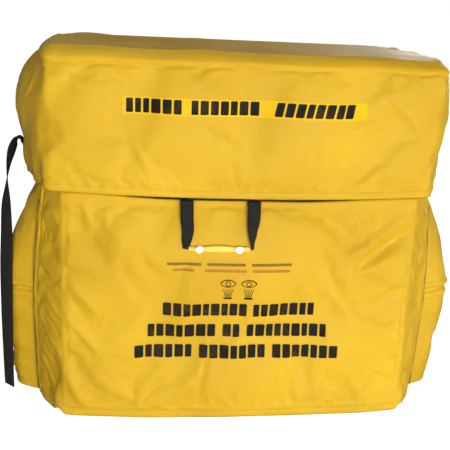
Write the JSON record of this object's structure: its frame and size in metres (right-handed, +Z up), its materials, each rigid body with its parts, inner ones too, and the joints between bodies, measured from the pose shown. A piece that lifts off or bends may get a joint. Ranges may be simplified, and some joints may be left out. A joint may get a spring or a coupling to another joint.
{
  "type": "portable eyewash station",
  "caption": "Self-contained gravity-fed emergency eyewash station in a padded vinyl jacket, with a lift-off hood and a drop-down front that carries capped nozzles.",
  "frame": {"origin": "on the floor under the middle of the station's outline", "axes": "+X to the right as seen from the front, +Y to the back, +Z up"},
  "size_m": [0.7576, 0.3998, 0.57],
  "materials": {
    "jacket_vinyl": "coated cloth, satin",
    "hood_vinyl": "coated cloth, satin",
    "webbing": "woven polyester",
    "hook_loop": "loop pile",
    "grip_vinyl": "soft moulded vinyl",
    "foam": "closed-cell foam",
    "housing_plastic": "moulded polyethylene",
    "tray_plastic": "moulded ABS",
    "cover_plastic": "moulded polyethylene",
    "basin_plastic": "moulded ABS",
    "cartridge_plastic": "translucent polyethylene",
    "cap_blue": "moulded polypropylene",
    "manifold_pipe": "PVC pipe",
    "nozzle_plastic": "moulded ABS",
    "cap_yellow": "moulded polypropylene",
    "steel": "stainless",
    "nickel": "nickel plated",
    "rubber_black": "matt rubber",
    "hose_pvc": "clear PVC hose",
    "alarm_white": "moulded ABS",
    "alarm_red": "moulded ABS",
    "magnet_black": "magnet in a plastic case"
  },
  "bodies": {
    "housing": {"alarm_box": "alarm_white", "alarm_sounder": "magnet_black", "back_grommets": "nickel", "back_panel": "jacket_vinyl", "base_pan": "housing_plastic", "cartridge_deck": "housing_plastic", "cartridge_left": "cartridge_plastic", "cartridge_right": "cartridge_plastic", "cover_rails": "housing_plastic", "deck_screws": "steel", "drain_spigot": "manifold_pipe", "feed_hose_left": "hose_pvc", "feed_hose_right": "hose_pvc", "feet": "rubber_black", "hose_clamps": "steel", "housing_shell": "housing_plastic", "magnet_catches": "magnet_black", "pivot_block_left": "housing_plastic", "pivot_block_right": "housing_plastic", "side_panel_left": "jacket_vinyl", "side_panel_right": "jacket_vinyl", "side_strap_left": "webbing", "side_strap_right": "webbing", "spout_left": "cap_blue", "spout_right": "cap_blue", "wall_inserts": "nickel", "wash_basin": "basin_plastic"},
    "hood": {"hood_cover": "hood_vinyl", "cartridge_cover": "cover_plastic", "hood_pad": "foam", "strap_patch_left": "hook_loop", "strap_patch_right": "hook_loop"},
    "door": {"front_flap": "jacket_vinyl", "door_tray": "tray_plastic", "strike_plates": "steel", "nozzle_manifold": "manifold_pipe", "pipe_saddles": "manifold_pipe", "nozzle_left": "nozzle_plastic", "nozzle_right": "nozzle_plastic", "nozzle_screen_left": "steel", "nozzle_screen_right": "steel", "cap_pins": "steel", "handle_anchors": "nickel"},
    "handle": {"handle_webbing": "webbing", "handle_grip": "grip_vinyl", "grip_snaps": "nickel"},
    "cap_left": {"nozzle_cap_left": "cap_yellow"},
    "cap_right": {"nozzle_cap_right": "cap_yellow"},
    "vent_left": {"vent_cap_left": "cap_blue"},
    "vent_right": {"vent_cap_right": "cap_blue"},
    "drain": {"drain_cap": "cap_blue"},
    "button": {"alarm_button": "alarm_red"}
  },
  "joints": [
    {"name": "hood_lift", "type": "slide", "parent": "housing", "child": "hood", "axis": [0, 0, 1], "range_m": [0, 0.24]},
    {"name": "door_hinge", "type": "hinge", "parent": "housing", "child": "door", "pos_m": [0, -0.184, 0.028], "axis": [1, 0, 0], "range_deg": [0, 90]},
    {"name": "handle_swing", "type": "hinge", "parent": "door", "child": "handle", "pos_m": [0, -0.181, 0.347], "axis": [-1, 0, 0], "range_deg": [0, 70]},
    {"name": "nozzle_cap_left_hinge", "type": "hinge", "parent": "door", "child": "cap_left", "pos_m": [-0.062, -0.121, 0.1755], "axis": [-1, 0, 0], "range_deg": [0, 120]},
    {"name": "nozzle_cap_right_hinge", "type": "hinge", "parent": "door", "child": "cap_right", "pos_m": [0.062, -0.121, 0.1755], "axis": [-1, 0, 0], "range_deg": [0, 120]},
    {"name": "vent_cap_left_turn", "type": "hinge", "parent": "housing", "child": "vent_left", "pos_m": [-0.138, 0.1, 0.54], "axis": [0, 0, 1], "continuous": true},
    {"name": "vent_cap_right_turn", "type": "hinge", "parent": "housing", "child": "vent_right", "pos_m": [0.138, 0.1, 0.54], "axis": [0, 0, 1], "continuous": true},
    {"name": "drain_cap_turn", "type": "hinge", "parent": "housing", "child": "drain", "pos_m": [0, 0.193, 0.05], "axis": [0, 1, 0], "continuous": true},
    {"name": "alarm_button_press", "type": "slide", "parent": "housing", "child": "button", "axis": [0, 1, 0], "range_m": [0, 0.003], "stiffness_N_per_m": 600}
  ]
}
